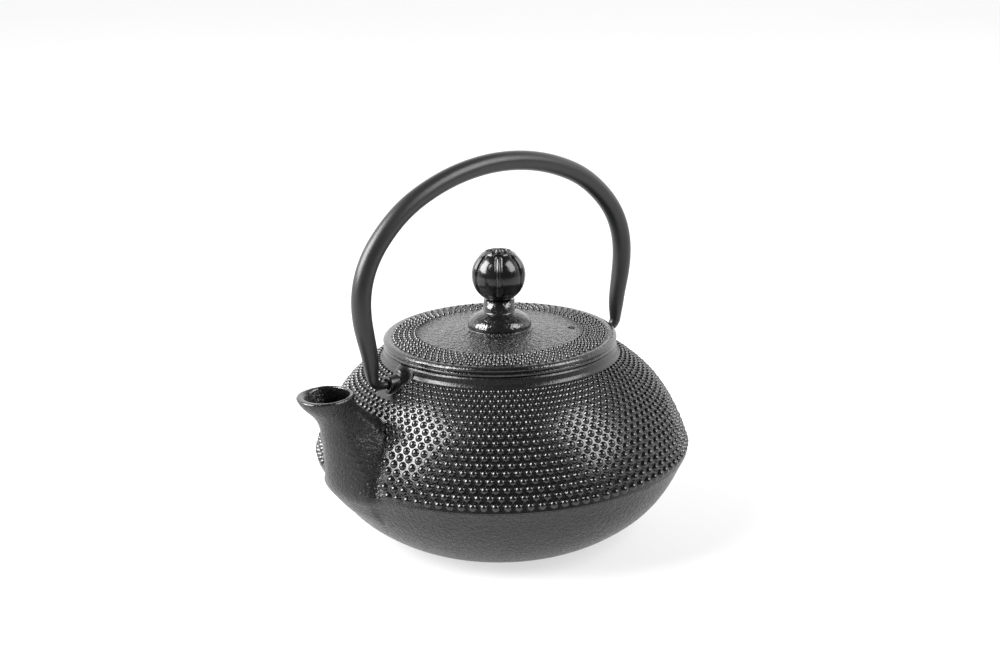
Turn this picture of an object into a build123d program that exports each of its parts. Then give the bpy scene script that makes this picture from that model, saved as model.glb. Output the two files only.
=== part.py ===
"""Small cast-iron teapot with a bail handle, a lid with a ball knob and a lift-out infuser.

Units are millimetres and +Z is up. The origin is on the pot's axis, in the plane of its base. The spout
points along -X. The bail's two ends turn in two lugs on the X axis, so the pot is mirrored across XZ.
The small nails that cover the shoulder and ring the lid are a surface texture and aren't modelled here.
"""

import os
from math import cos, radians, sin, sqrt

from build123d import *

# Body casting: outer radius at each height, from the base to the collar.
BOWL_PROFILE = [(38.5, 0.0), (42.3, 2.0), (47.0, 5.0), (53.1, 10.0), (57.3, 15.0), (60.4, 20.0), (62.9, 25.0)]
WAIST = (64.4, 27.9)
SHOULDER_PROFILE = [(63.7, 30.0), (62.0, 35.0), (59.9, 40.0), (57.3, 45.0), (53.9, 50.0), (49.3, 55.0)]
COLLAR_FOOT = (41.4, 61.5)
COLLAR_TOP = (39.7, 65.1)

# Inside of the casting.
MOUTH_RADIUS = 33.5
SEAT_RADIUS = 36.5
SEAT_HEIGHT = 62.0
MOUTH_UNDERSIDE = 58.0
CAVITY_FLOOR = 4.0
CAVITY_FLOOR_RADIUS = 35.0
CAVITY_LOWER = [(43.2, 6.0), (48.7, 10.0), (53.1, 15.0), (56.3, 20.0), (59.0, 25.0)]
CAVITY_WAIST = (60.4, 28.0)
CAVITY_UPPER = [(58.2, 35.0), (56.0, 40.0), (53.2, 45.0), (49.3, 50.0), (44.2, 55.0)]
CAVITY_ROOF = (40.0, 58.0)

# Spout: one row per height, as (z, front x, ridge x, ridge y, side x, side y, back x).
SPOUT_SECTIONS = [
    (10.0, -51.5, -49.5, 9.0, -47.0, 14.0, -38.0),
    (15.0, -57.6, -55.4, 9.0, -53.0, 15.0, -40.0),
    (19.0, -62.0, -59.8, 9.5, -56.0, 17.0, -42.0),
    (24.0, -66.3, -63.2, 11.5, -58.0, 19.5, -44.0),
    (28.0, -68.9, -65.0, 13.5, -60.0, 19.5, -44.0),
    (32.5, -70.2, -63.2, 13.0, -58.5, 17.8, -44.0),
    (37.5, -70.7, -64.5, 11.4, -57.5, 15.4, -43.0),
    (43.0, -71.3, -65.7, 10.0, -56.0, 12.8, -43.0),
    (48.0, -72.1, -67.4, 8.7, -55.0, 10.6, -45.0),
    (52.0, -73.4, -69.0, 7.9, -58.0, 9.2, -50.2),
    (55.5, -76.0, -70.6, 8.0, -61.5, 8.5, -54.4),
    (58.7, -79.2, -72.0, 8.7, -64.0, 8.3, -58.4),
    (62.3, -81.3, -72.0, 9.6, -65.5, 8.2, -61.9),
]
# Pouring channel: (z, centre x, radius), from the open mouth down into the cavity.
SPOUT_CHANNEL = [
    (62.9, -71.6, 7.9),
    (60.0, -69.9, 7.1),
    (56.0, -67.2, 6.5),
    (52.0, -65.0, 6.2),
    (48.0, -63.5, 6.4),
    (43.0, -61.9, 7.2),
    (38.0, -60.3, 8.4),
    (34.0, -58.8, 8.7),
    (29.0, -51.5, 7.6),
]

# Lugs and the bail's turning axis.
HINGE_HEIGHT = 60.2
LUG_INNER_X = 39.0
LUG_OUTER_X = 43.2
LUG_ROOT_Z = 53.0
LUG_OUTER_SIZE = (3.1, 64.3)
LUG_INNER_SIZE = (4.3, 65.6)
LUG_BOSS_RADIUS = 2.7
LUG_BOSS_X = 47.4
LUG_HOLE_RADIUS = 1.8
LUG_HOLE_END_X = 42.6
LID_CLEAR_RADIUS = 40.5

# The casting is handed over as bowl, shoulder and spout, cut at these planes, so its hollow stays open.
BOWL_CUT_Z = 27.9
SPOUT_CUT_X = -47.6

# Bail: a straight hooked tip, a bend, then the centre line (x, z) and bar radius up one leg to the crown.
BAIL_TIP_X = 43.2
BAIL_TIP_END_X = 49.0
BAIL_TIP_RADIUS = 1.4
BAIL_BEND_RADIUS = 4.0
BAIL_BEND_STEPS = 4
BAIL_BEND_BAR = 2.05
BAIL_LEG = [(53.2, 67.0, 2.45), (53.8, 72.0, 2.8), (55.2, 79.0, 3.1), (56.1, 86.0, 3.25), (55.6, 93.8, 3.3)]
BAIL_ARCH = [(51.9, 103.4, 3.3), (45.4, 111.4, 3.3), (37.4, 117.8, 3.3), (28.4, 122.3, 3.3), (19.0, 125.4, 3.3),
             (9.5, 127.2, 3.3)]
BAIL_CROWN = (0.0, 127.8, 3.3)

# Lid.
LID_RADIUS = 40.0
LID_EDGE = [(29.6, 65.1), (39.4, 65.1), (39.9, 65.5), (39.9, 66.2), (39.3, 66.6), (40.0, 67.1), (40.0, 67.6),
            (39.5, 68.2), (38.6, 68.5), (37.4, 68.4)]
LID_TOP = [(28.4, 69.3), (18.0, 70.3)]
LID_FLANGE = [(10.9, 71.0), (10.9, 72.2)]
LID_CUSHION = [(10.5, 73.2), (9.4, 74.4), (7.6, 75.5), (5.4, 76.3)]
LID_NECK_TOP = (5.3, 80.6)
LID_UNDERSIDE = 66.3
LID_SKIRT_INNER_RADIUS = 27.4
LID_SKIRT_BOTTOM = 58.4
VENT_RADIUS = 1.3
VENT_POSITION = (19.4, -15.1)

# Knob and the screw that holds it.
KNOB_CENTRE_Z = 89.0
KNOB_RADIUS = 9.25
KNOB_SEAT_Z = 80.6
KNOB_RIBS = 6
RIB_RADIUS = 0.45
CROWN_RADIUS = 4.8
CROWN_HEIGHT = 1.3
SCREW_RADIUS = 2.0
SCREW_HOLE_RADIUS = 2.3
SCREW_TOP_Z = 87.0
SCREW_HEAD = (4.0, 62.9, 65.3)
WASHER = (2.2, 7.5, 65.3, 66.3)

# Infuser basket.
RIM_OUTER_RADIUS = 36.0
RIM_INNER_RADIUS = 31.0
RIM_THICKNESS = 0.8
BAND_OUTER_RADIUS = 31.7
BAND_BOTTOM = 57.5
BASKET_TOP = (30.9, 61.6)
BASKET_BOTTOM = (28.2, 17.0)
MESH_THICKNESS = 0.5
SEAM_WIDTH = 6.0
SEAM_ANGLE = 150.0
BASE_RING = (27.2, 29.0, 15.0, 16.9)
FLOOR_DISC = (27.1, 15.6, 16.2)


def save(shape, node):
    export_step(shape, f"parts/{node}.step")


def revolved(outline):
    """Turn a closed face in the XZ plane about the pot's axis."""
    return revolve(outline, axis=Axis.Z, revolution_arc=360)


def tube(inner, outer, bottom, top):
    """Plain ring with a rectangular section."""
    height = top - bottom
    ring = Cylinder(outer, height) - Cylinder(inner, height * 2)
    return Pos(0, 0, bottom + height / 2) * ring


def body_outside():
    """Bowl, sharp waist, domed shoulder and collar, as one turned solid."""
    with BuildSketch(Plane.XZ) as sketch:
        with BuildLine():
            Line((0, 0), BOWL_PROFILE[0])
            Spline(*BOWL_PROFILE, WAIST)
            Spline(WAIST, *SHOULDER_PROFILE, COLLAR_FOOT)
            Line(COLLAR_FOOT, COLLAR_TOP)
            Polyline(COLLAR_TOP, (0, COLLAR_TOP[1]), (0, 0))
        make_face()
    return revolved(sketch.sketch)


def body_cavity():
    """The space inside the casting, with the seat for the infuser's rim and the narrower mouth below it."""
    top = COLLAR_TOP[1] + 1
    with BuildSketch(Plane.XZ) as sketch:
        with BuildLine():
            Line((0, CAVITY_FLOOR), (CAVITY_FLOOR_RADIUS, CAVITY_FLOOR))
            Spline((CAVITY_FLOOR_RADIUS, CAVITY_FLOOR), *CAVITY_LOWER, CAVITY_WAIST)
            Spline(CAVITY_WAIST, *CAVITY_UPPER, CAVITY_ROOF)
            Polyline(
                CAVITY_ROOF,
                (MOUTH_RADIUS, MOUTH_UNDERSIDE),
                (MOUTH_RADIUS, SEAT_HEIGHT),
                (SEAT_RADIUS, SEAT_HEIGHT),
                (SEAT_RADIUS, top),
                (0, top),
                (0, CAVITY_FLOOR),
            )
        make_face()
    return revolved(sketch.sketch)


def spout_section(z, front_x, ridge_x, ridge_y, side_x, side_y, back_x):
    """Level section of the spout: a rounded front between two ridges, and sides that run back to the body."""
    right_ridge = (ridge_x, -ridge_y, z)
    left_ridge = (ridge_x, ridge_y, z)
    front = Edge.make_spline([Vector(*right_ridge), Vector(front_x, 0, z), Vector(*left_ridge)])
    rest = Edge.make_spline([
        Vector(*left_ridge),
        Vector(side_x, side_y, z),
        Vector(back_x, 0, z),
        Vector(side_x, -side_y, z),
        Vector(*right_ridge),
    ])
    return Wire([front, rest])


def spout_outside():
    return Solid.make_loft([spout_section(*row) for row in SPOUT_SECTIONS])


def spout_channel():
    circles = [Wire.make_circle(radius, Plane((x, 0, z))) for z, x, radius in SPOUT_CHANNEL]
    return Solid.make_loft(circles)


def lug_outline(x, half_width, top):
    """Upright face with a round head, seen along X."""
    shoulder = top - half_width
    left = (x, half_width, shoulder)
    right = (x, -half_width, shoulder)
    head = Edge.make_three_point_arc(Vector(*left), Vector(x, 0, top), Vector(*right))
    sides = Wire.make_polygon([right, (x, -half_width, LUG_ROOT_Z), (x, half_width, LUG_ROOT_Z), left], close=False)
    return Wire([head] + list(sides.edges()))


def lug():
    """One ear on the +X side, narrower and lower at its outer face, with a boss round the hole."""
    ear = Solid.make_loft(
        [lug_outline(LUG_INNER_X, *LUG_INNER_SIZE), lug_outline(LUG_OUTER_X, *LUG_OUTER_SIZE)],
        ruled=True,
    )
    boss_length = LUG_BOSS_X - LUG_INNER_X
    boss = Cylinder(LUG_BOSS_RADIUS, boss_length, rotation=(0, 90, 0))
    return ear + Pos(LUG_INNER_X + boss_length / 2, 0, HINGE_HEIGHT) * boss


def lug_hole():
    """Blind hole for the bail's tip, open at the boss."""
    length = LUG_BOSS_X + 1 - LUG_HOLE_END_X
    hole = Cylinder(LUG_HOLE_RADIUS, length, rotation=(0, 90, 0))
    return Pos(LUG_HOLE_END_X + length / 2, 0, HINGE_HEIGHT) * hole


def lid_clearance():
    """Space that the lid needs to lift past the lugs."""
    return tube(0.0001, LID_CLEAR_RADIUS, COLLAR_TOP[1], COLLAR_TOP[1] + 10)


def pot_casting():
    """The whole casting, hollow, with its spout and lugs."""
    right_lug = lug()
    left_lug = mirror(right_lug, about=Plane.YZ)
    right_hole = lug_hole()
    left_hole = mirror(right_hole, about=Plane.YZ)
    shape = body_outside() + spout_outside() + right_lug + left_lug
    shape -= body_cavity()
    shape -= spout_channel()
    shape -= right_hole
    shape -= left_hole
    shape -= lid_clearance()
    return shape


def save_pot():
    """Cut the casting at the waist, and above the waist just behind the spout."""
    casting = pot_casting()
    reach = 200
    below_waist = Pos(0, 0, BOWL_CUT_Z - reach / 2) * Box(reach, reach, reach)
    spout_side = Pos(SPOUT_CUT_X - reach / 2, 0, 0) * Box(reach, reach, reach)
    upper = casting - below_waist
    save(casting & below_waist, "pot_bowl")
    save(upper - spout_side, "pot_shoulder")
    save(upper & spout_side, "pot_spout")


def bail_stations():
    """Centre points and bar radii of half the bail, from the end of the straight tip to the crown."""
    stations = []
    bend_z = HINGE_HEIGHT + BAIL_BEND_RADIUS
    for step in range(BAIL_BEND_STEPS + 1):
        share = step / BAIL_BEND_STEPS
        angle = radians(90 * share)
        x = BAIL_TIP_END_X + BAIL_BEND_RADIUS * sin(angle)
        z = bend_z - BAIL_BEND_RADIUS * cos(angle)
        bar = BAIL_TIP_RADIUS + (BAIL_BEND_BAR - BAIL_TIP_RADIUS) * share
        stations.append((x, z, bar))
    return stations + BAIL_LEG + BAIL_ARCH + [BAIL_CROWN]


def bail_section(stations, index):
    """Circle square to the centre line at one station."""
    x, z, radius = stations[index]
    before = stations[max(index - 1, 0)]
    after = stations[min(index + 1, len(stations) - 1)]
    along = Vector(after[0] - before[0], 0, after[1] - before[1])
    if index == 0:
        along = Vector(1, 0, 0)
    if x == 0:
        along = Vector(-1, 0, 0)
    return Wire.make_circle(radius, Plane(origin=(x, 0, z), z_dir=along, x_dir=(0, 1, 0)))


def bail_handle():
    stations = bail_stations()
    leg = Solid.make_loft([bail_section(stations, index) for index in range(len(stations))])
    tip_length = BAIL_TIP_END_X - BAIL_TIP_X
    tip = Cylinder(BAIL_TIP_RADIUS, tip_length, rotation=(0, 90, 0))
    half = leg + Pos(BAIL_TIP_X + tip_length / 2, 0, HINGE_HEIGHT) * tip
    return half + mirror(half, about=Plane.YZ)


def lid():
    """Lid disc with its edge bead, the skirt below, and the flange and neck that carry the knob."""
    with BuildSketch(Plane.XZ) as sketch:
        with BuildLine():
            Polyline(
                (SCREW_HOLE_RADIUS, LID_UNDERSIDE),
                (LID_SKIRT_INNER_RADIUS, LID_UNDERSIDE),
                (LID_SKIRT_INNER_RADIUS, LID_SKIRT_BOTTOM),
                (LID_EDGE[0][0], LID_SKIRT_BOTTOM),
                *LID_EDGE,
            )
            Spline(LID_EDGE[-1], *LID_TOP, LID_FLANGE[0])
            Line(*LID_FLANGE)
            Spline(LID_FLANGE[-1], *LID_CUSHION)
            Polyline(
                LID_CUSHION[-1],
                LID_NECK_TOP,
                (SCREW_HOLE_RADIUS, LID_NECK_TOP[1]),
                (SCREW_HOLE_RADIUS, LID_UNDERSIDE),
            )
        make_face()
    vent = Pos(*VENT_POSITION, LID_EDGE[0][1]) * Cylinder(VENT_RADIUS, 20)
    return revolved(sketch.sketch) - vent


def lid_knob():
    """Ball with six raised ribs down its sides and a low crown, bored from below for the screw."""
    ball = Pos(0, 0, KNOB_CENTRE_Z) * Sphere(KNOB_RADIUS)
    crown_z = KNOB_CENTRE_Z + sqrt(KNOB_RADIUS ** 2 - CROWN_RADIUS ** 2)
    ball += Pos(0, 0, crown_z + CROWN_HEIGHT / 2 - 0.4) * Cylinder(CROWN_RADIUS, CROWN_HEIGHT)
    for index in range(KNOB_RIBS):
        turn = index * 360 / KNOB_RIBS
        rib = Rot(90, 0, 0) * Torus(KNOB_RADIUS - 0.1, RIB_RADIUS)
        half_space = Pos(KNOB_RADIUS, 0, 0) * Box(2 * KNOB_RADIUS, 4, 2 * KNOB_RADIUS * 0.8)
        ball += Pos(0, 0, KNOB_CENTRE_Z) * Rot(0, 0, turn) * (rib & half_space)
    below = Pos(0, 0, KNOB_SEAT_Z - 10) * Cylinder(20, 20)
    hole_bottom = KNOB_SEAT_Z - 1
    hole_height = SCREW_TOP_Z + 0.3 - hole_bottom
    hole = Pos(0, 0, hole_bottom + hole_height / 2) * Cylinder(SCREW_RADIUS + 0.05, hole_height)
    return ball - below - hole


def knob_screw():
    head_radius, head_bottom, head_top = SCREW_HEAD
    head_height = head_top - head_bottom
    head = Pos(0, 0, head_bottom + head_height / 2) * Cylinder(head_radius, head_height)
    shank_height = SCREW_TOP_Z - head_top
    shank = Pos(0, 0, head_top + shank_height / 2) * Cylinder(SCREW_RADIUS, shank_height)
    return head + shank


def infuser_rim():
    """Flat flange that rests on the pot's seat, with a short band that holds the mesh."""
    flange = tube(RIM_INNER_RADIUS, RIM_OUTER_RADIUS, SEAT_HEIGHT, SEAT_HEIGHT + RIM_THICKNESS)
    band = tube(RIM_INNER_RADIUS, BAND_OUTER_RADIUS, BAND_BOTTOM, SEAT_HEIGHT + RIM_THICKNESS)
    return flange + band


def basket_radius(z):
    """Outer radius of the tapered mesh wall at a height."""
    top_radius, top_z = BASKET_TOP
    bottom_radius, bottom_z = BASKET_BOTTOM
    return bottom_radius + (top_radius - bottom_radius) * (z - bottom_z) / (top_z - bottom_z)


def cone_shell(bottom_z, top_z, outward, thickness):
    """Thin wall that follows the basket's taper, moved outward by a distance."""
    with BuildSketch(Plane.XZ) as sketch:
        with BuildLine():
            low = basket_radius(bottom_z) + outward
            high = basket_radius(top_z) + outward
            Polyline(
                (low, bottom_z),
                (high, top_z),
                (high - thickness, top_z),
                (low - thickness, bottom_z),
                (low, bottom_z),
            )
        make_face()
    return revolved(sketch.sketch)


def infuser_mesh_wall():
    return cone_shell(BASKET_BOTTOM[1], BASKET_TOP[1], 0, MESH_THICKNESS)


def infuser_wall_seam():
    """Strip that laps the joint of the rolled mesh, outside the wall."""
    shell = cone_shell(BASKET_BOTTOM[1] + 0.5, BAND_BOTTOM - 0.5, 0.45, 0.4)
    strip = Pos(BASKET_TOP[0], 0, HINGE_HEIGHT / 2) * Box(20, SEAM_WIDTH, 100)
    return Rot(0, 0, SEAM_ANGLE) * (shell & strip)


def main():
    os.makedirs("parts", exist_ok=True)
    save_pot()
    save(bail_handle(), "bail_handle")
    save(lid(), "lid")
    save(lid_knob(), "lid_knob")
    save(knob_screw(), "knob_screw")
    save(tube(*WASHER), "screw_washer")
    save(infuser_rim(), "infuser_rim")
    save(infuser_mesh_wall(), "infuser_mesh_wall")
    save(infuser_wall_seam(), "infuser_wall_seam")
    save(tube(*BASE_RING), "infuser_base_ring")
    floor_radius, floor_bottom, floor_top = FLOOR_DISC
    floor_height = floor_top - floor_bottom
    save(Pos(0, 0, floor_bottom + floor_height / 2) * Cylinder(floor_radius, floor_height), "infuser_mesh_floor")


main()
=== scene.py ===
"""Looks of the small hobnail cast-iron teapot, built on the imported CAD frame.

Shapes are written in millimetres in the row frame and scaled to metres when a mesh is made. The origin is
on the pot's axis at its base, the spout points along -X and the bail turns about the X axis.
"""

import math

import bpy
import numpy as np
from mathutils import Matrix, Vector


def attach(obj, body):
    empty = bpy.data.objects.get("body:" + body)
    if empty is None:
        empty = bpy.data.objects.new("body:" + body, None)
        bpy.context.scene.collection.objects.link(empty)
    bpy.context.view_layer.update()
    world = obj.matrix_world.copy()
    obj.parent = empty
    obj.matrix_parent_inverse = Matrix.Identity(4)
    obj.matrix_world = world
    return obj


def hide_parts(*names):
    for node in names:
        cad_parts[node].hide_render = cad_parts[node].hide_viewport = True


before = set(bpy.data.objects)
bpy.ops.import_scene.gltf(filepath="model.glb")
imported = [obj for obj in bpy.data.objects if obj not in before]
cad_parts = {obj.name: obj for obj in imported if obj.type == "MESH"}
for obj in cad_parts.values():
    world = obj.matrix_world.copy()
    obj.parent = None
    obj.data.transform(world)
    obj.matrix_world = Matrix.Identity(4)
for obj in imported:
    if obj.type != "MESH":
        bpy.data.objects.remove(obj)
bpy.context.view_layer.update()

MM = 0.001
TAU = 2 * math.pi
rng = np.random.default_rng(7)

# ---------------------------------------------------------------- dimensions, in millimetres

# Outer profile of the casting, (radius, height).
BOWL = [(38.5, 0.0), (42.3, 2.0), (47.0, 5.0), (53.1, 10.0), (57.3, 15.0), (60.4, 20.0), (62.9, 25.0)]
WAIST = (64.4, 27.9)
SHOULDER = [(63.7, 30.0), (62.0, 35.0), (59.9, 40.0), (57.3, 45.0), (53.9, 50.0), (49.3, 55.0)]
COLLAR_FOOT = (41.4, 61.5)
COLLAR_TOP = (39.7, 65.1)
# The collar's hollowed side and eased upper edge, from its foot up.
COLLAR_SIDE = [(40.75, 61.9), (40.2, 62.9), (40.0, 64.5), (39.5, 65.1)]
BASE_BEVEL = 0.6
WAIST_EASE = 0.18
WAIST_TRIM = 0.9985
POT_SEGMENTS = 216
# Surfaces above the waist and outside this radius have the finish of the gaps between the nails.
GAP_FINISH_RADIUS = 41.0
COLLAR_FINISH_DROP = 0.3

# Inside of the casting.
MOUTH_RADIUS = 33.5
SEAT_RADIUS = 36.5
SEAT_HEIGHT = 62.0
SEAT_BEVEL = 0.3
MOUTH_BEVEL = (0.2, 0.3)
CAVITY_FLOOR = (35.0, 4.0)
CAVITY_LOWER = [(43.2, 6.0), (48.7, 10.0), (53.1, 15.0), (56.3, 20.0), (59.0, 25.0)]
CAVITY_WAIST = (60.4, 28.0)
CAVITY_UPPER = [(58.2, 35.0), (56.0, 40.0), (53.2, 45.0), (49.3, 50.0), (44.2, 55.0)]
CAVITY_ROOF = (40.0, 58.0)

# Spout: (z, front x, ridge x, ridge y, side x, side y, back x) at each height.
SPOUT_ROWS = [
    (10.0, -51.5, -49.5, 9.0, -47.0, 14.0, -38.0),
    (15.0, -57.6, -55.4, 9.0, -53.0, 15.0, -40.0),
    (19.0, -62.0, -59.8, 9.5, -56.0, 17.0, -42.0),
    (24.0, -66.3, -63.2, 11.5, -58.0, 19.5, -44.0),
    (28.0, -68.9, -65.0, 13.5, -60.0, 19.5, -44.0),
    (32.5, -70.2, -63.2, 13.0, -58.5, 17.8, -44.0),
    (37.5, -70.7, -64.5, 11.4, -57.5, 15.4, -43.0),
    (43.0, -71.3, -65.7, 10.0, -56.0, 12.8, -43.0),
    (48.0, -72.1, -67.4, 8.7, -55.0, 10.6, -45.0),
    (52.0, -73.4, -69.0, 7.9, -58.0, 9.2, -50.2),
    (55.5, -76.0, -70.6, 8.0, -61.5, 8.5, -54.4),
    (58.7, -79.2, -72.0, 8.7, -64.0, 8.3, -58.4),
    (62.3, -81.3, -72.0, 9.6, -65.5, 8.2, -61.9),
]
SPOUT_TOP = 62.3
SPOUT_LIP_ROUNDING = 0.9
SPOUT_LIP_DEPTH = 1.1
SPOUT_RIDGE_ROUNDING = 0.8
SPOUT_FLANK_SLOPE = 0.85
SPOUT_HEEL_ROUNDING = 1.0
SPOUT_LEVEL_X = -66.0
SPOUT_TILT = 0.045
# Pouring channel: (z, centre x, radius).
CHANNEL_ROWS = [
    (29.0, -51.5, 7.6),
    (34.0, -58.8, 8.7),
    (38.0, -60.3, 8.4),
    (43.0, -61.9, 7.2),
    (48.0, -63.5, 6.4),
    (52.0, -65.0, 6.2),
    (56.0, -67.2, 6.5),
    (60.0, -69.9, 7.1),
    (62.9, -71.6, 7.9),
]
HOLLOW_ROUNDING = 0.7
SPOUT_FILLET = 1.8
SPOUT_CELL = 0.6
# The blended meshes follow the body this far under its surface, so the two never flicker together.
BLEND_SINK = 0.10
# A blended mesh is kept down to this far under the plain body.
KEEP_SINK = 0.08
# The channel's mesh is kept this far outside it and this far into the cavity.
CHANNEL_REACH = 0.6
CAVITY_REACH = 0.2
SPOUT_BOX_MARGIN = 1.0
SPOUT_BOX = ((-84.0, -30.0, 4.0), (-38.0, 30.0, 64.4))

# Lugs.
HINGE_HEIGHT = 60.2
# Inner and outer face of an ear: (x, half width, top).
LUG_INNER = (39.0, 4.3, 65.6)
LUG_OUTER = (43.2, 3.1, 64.3)
LUG_EDGE = 0.9
LUG_FILLET = 1.6
BOSS_RADIUS = 2.7
BOSS_START = 41.0
BOSS_END = 47.4
BOSS_EDGE = 0.6
BOSS_FILLET = 0.8
HOLE_RADIUS = 1.8
HOLE_END = 42.6
HOLE_ROUNDING = 0.3
HOLE_REACH = 0.2
LID_CLEARANCE = 40.5
# Half width and reach of the bare pad under each lug.
LUG_PAD = (4.6, 48.6)
LUG_CELL = 0.32
LUG_BOX = ((37.0, -11.0, 50.0), (49.5, 11.0, 69.0))

# Nails on the shoulder. Ratios are shares of the pitch along a row, and spreads are random shares.
NAIL_COUNT = 108
NAIL_ROWS = 18
NAIL_ROW_RATIO = 0.72
NAIL_BASE_RATIO = 0.385
NAIL_HEIGHT_RATIO = 0.29
NAIL_WAIST_MARGIN = 2.2
NAIL_TURN_SPREAD = 0.0012
NAIL_BASE_SPREAD = 0.025
NAIL_HEIGHT_SPREAD = 0.05
NAIL_BARE_ABOVE = 0.10
# Nail outline as (share of base radius, share of height), from the sunk skirt to the top.
NAIL_OUTLINE = [(1.22, -0.20), (1.04, 0.03), (0.93, 0.26), (0.76, 0.60), (0.52, 0.86), (0.26, 0.98)]
NAIL_SIDES = 12
# The nails are two meshes, below and above this height.
NAIL_SPLIT_HEIGHT = 42.0

# Lid.
LID_EDGE = [(29.6, 65.1), (39.4, 65.1), (39.9, 65.5), (39.9, 66.2), (39.3, 66.6), (40.0, 67.1), (40.0, 67.6),
            (39.5, 68.2), (38.6, 68.5), (37.4, 68.4)]
LID_TOP = [(28.4, 69.3), (18.0, 70.3)]
LID_FLANGE = [(10.9, 71.0), (10.9, 72.2)]
LID_CUSHION = [(10.5, 73.2), (9.4, 74.4), (7.6, 75.5), (5.4, 76.3)]
LID_NECK_TOP = (5.3, 80.6)
LID_UNDERSIDE = 66.3
LID_SKIRT_INNER = 27.4
LID_SKIRT_BOTTOM = 58.4
LID_BORE = 2.3
LID_FLANGE_EASE = [(10.9, 71.15), (10.9, 71.9)]
LID_NECK_FOOT = (5.32, 76.9)
LID_SEGMENTS = 240
# Vent: x, y and radius.
VENT = (19.4, -15.1, 1.3)
LID_NAIL_RINGS = [28.8, 30.6, 32.4, 34.2, 36.0]
LID_NAIL_COUNT = 80
LID_NAIL_RADIUS = 0.90
LID_NAIL_HEIGHT = 0.72
LID_NAIL_TURN_SPREAD = 0.0015
LID_NAIL_BASE_SPREAD = 0.03
LID_NAIL_HEIGHT_SPREAD = 0.05
# The lid's nails lean very slightly, because a dome's sides are found from its lean.
LID_NAIL_LEAN = 0.08
LID_RIM_RADIUS = 37.3

# Knob.
KNOB_CENTRE = 89.0
KNOB_RADIUS = 9.2
KNOB_RIBS = 6
KNOB_TURN = math.radians(-127.9)
KNOB_GRID = (90, 360)
KNOB_FOOT_ANGLE = math.radians(154)
# Bead along each rib as (height, width), and the groove on each side of it as (depth, offset, width).
KNOB_BEAD = (0.30, 0.42)
KNOB_GROOVE = (0.34, 0.95, 0.30)
# Where ribs fade out, as (polar angle, span).
KNOB_FADE_TOP = (math.radians(32), math.radians(8))
KNOB_FADE_FOOT = (math.radians(132), math.radians(12))
CROWN_RADIUS = 5.1
CROWN_BASE = 96.75
CROWN_SWELL = 0.3
CROWN_SINK = 0.04
CROWN_GRID = (40, 192)
CROWN_PETALS = 6
# Rings of the crown, (height, radius, width): lip, valley and the ring round the boss.
CROWN_RINGS = [(0.50, 4.6, 0.36), (-0.35, 3.85, 0.35), (-0.30, 1.5, 0.25)]
CROWN_PETAL_RING = (0.85, 2.5, 0.9)
CROWN_BOSS_HEIGHT = 1.15

# Bail: centre line (x, z) and bar radius from the straight tip to the crown.
TIP_START = 43.2
TIP_END = 49.0
TIP_RADIUS = 1.4
BEND_RADIUS = 4.0
BEND_STEPS = 6
BEND_BAR = 2.05
BAIL_SIDES = 48
LEG = [(53.2, 67.0, 2.45), (53.8, 72.0, 2.8), (55.2, 79.0, 3.1), (56.1, 86.0, 3.25), (55.6, 93.8, 3.3)]
ARCH = [(51.9, 103.4, 3.3), (45.4, 111.4, 3.3), (37.4, 117.8, 3.3), (28.4, 122.3, 3.3), (19.0, 125.4, 3.3),
        (9.5, 127.2, 3.3)]
CROWN = (0.0, 127.8, 3.3)

# Infuser.
BASKET_TOP = (30.9, 61.6)
BASKET_BOTTOM = (28.2, 17.0)
MESH_WIRES = 180
MESH_RINGS = 52
MESH_WIRE = 0.16
MESH_INSET = 0.25
MESH_MARGIN = 0.2
WALL_WEAVE = 0.09
FLOOR_WEAVE = 0.1
FLOOR_RADIUS = 27.1
FLOOR_HEIGHT = 15.9
FLOOR_WIRE_PITCH = 1.1

# Camera: solved from the outlines of lid, collar and waist. Angles in radians, lengths in metres, lens in mm.
CAMERA_AZIMUTH = -0.661
CAMERA_ELEVATION = 0.2920
CAMERA_ROLL = -0.0208
CAMERA_DISTANCE = 0.6065
CAMERA_SHIFT = (-0.000068, -0.000176)
CAMERA_TARGET = (0, 0, 0.068)
CAMERA_LENS = 63.62

# Studio, in metres, watts and radians. Soft boxes: (name, turn from the camera, height angle, size, power).
FLOOR_SIZE = 14.0
FLOOR_GLOW = 0.70
FLOOR_GLOW_FRONT = 0.02
SURROUND_DARK = 0.08
SURROUND_STRENGTH = 1.7
SOFT_BOX_DISTANCE = 1.05
SOFT_BOX_TARGET = (0, 0, 0.07)
SOFT_BOXES = [
    ("key", math.radians(-77), math.radians(35), (0.75, 0.75), 34),
    ("fill", math.radians(71), math.radians(37), (0.5, 0.7), 10),
]


# ---------------------------------------------------------------- curves and fields

def smooth_curve(points, per_span=8):
    """Natural cubic through points, at even chord-length steps."""
    pts = np.array(points, float)
    knots = np.concatenate([[0], np.cumsum(np.linalg.norm(np.diff(pts, axis=0), axis=1))])
    steps = np.diff(knots)
    count = len(pts)
    matrix = np.eye(count)
    right = np.zeros_like(pts)
    for i in range(1, count - 1):
        matrix[i, i - 1] = steps[i - 1]
        matrix[i, i] = 2 * (steps[i - 1] + steps[i])
        matrix[i, i + 1] = steps[i]
        right[i] = 6 * ((pts[i + 1] - pts[i]) / steps[i] - (pts[i] - pts[i - 1]) / steps[i - 1])
    bend = np.linalg.solve(matrix, right)
    out = []
    for i in range(count - 1):
        for t in np.arange(per_span) / per_span:
            out.append(cubic_span(pts, bend, steps, i, t))
    out.append(pts[-1])
    return np.array(out)


def cubic_span(pts, bend, steps, i, t):
    """Point at share t of one span of a natural cubic."""
    s = 1 - t
    linear = s * pts[i] + t * pts[i + 1]
    curve = ((s ** 3 - s) * bend[i] + (t ** 3 - t) * bend[i + 1]) * steps[i] ** 2 / 6
    return linear + curve


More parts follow.
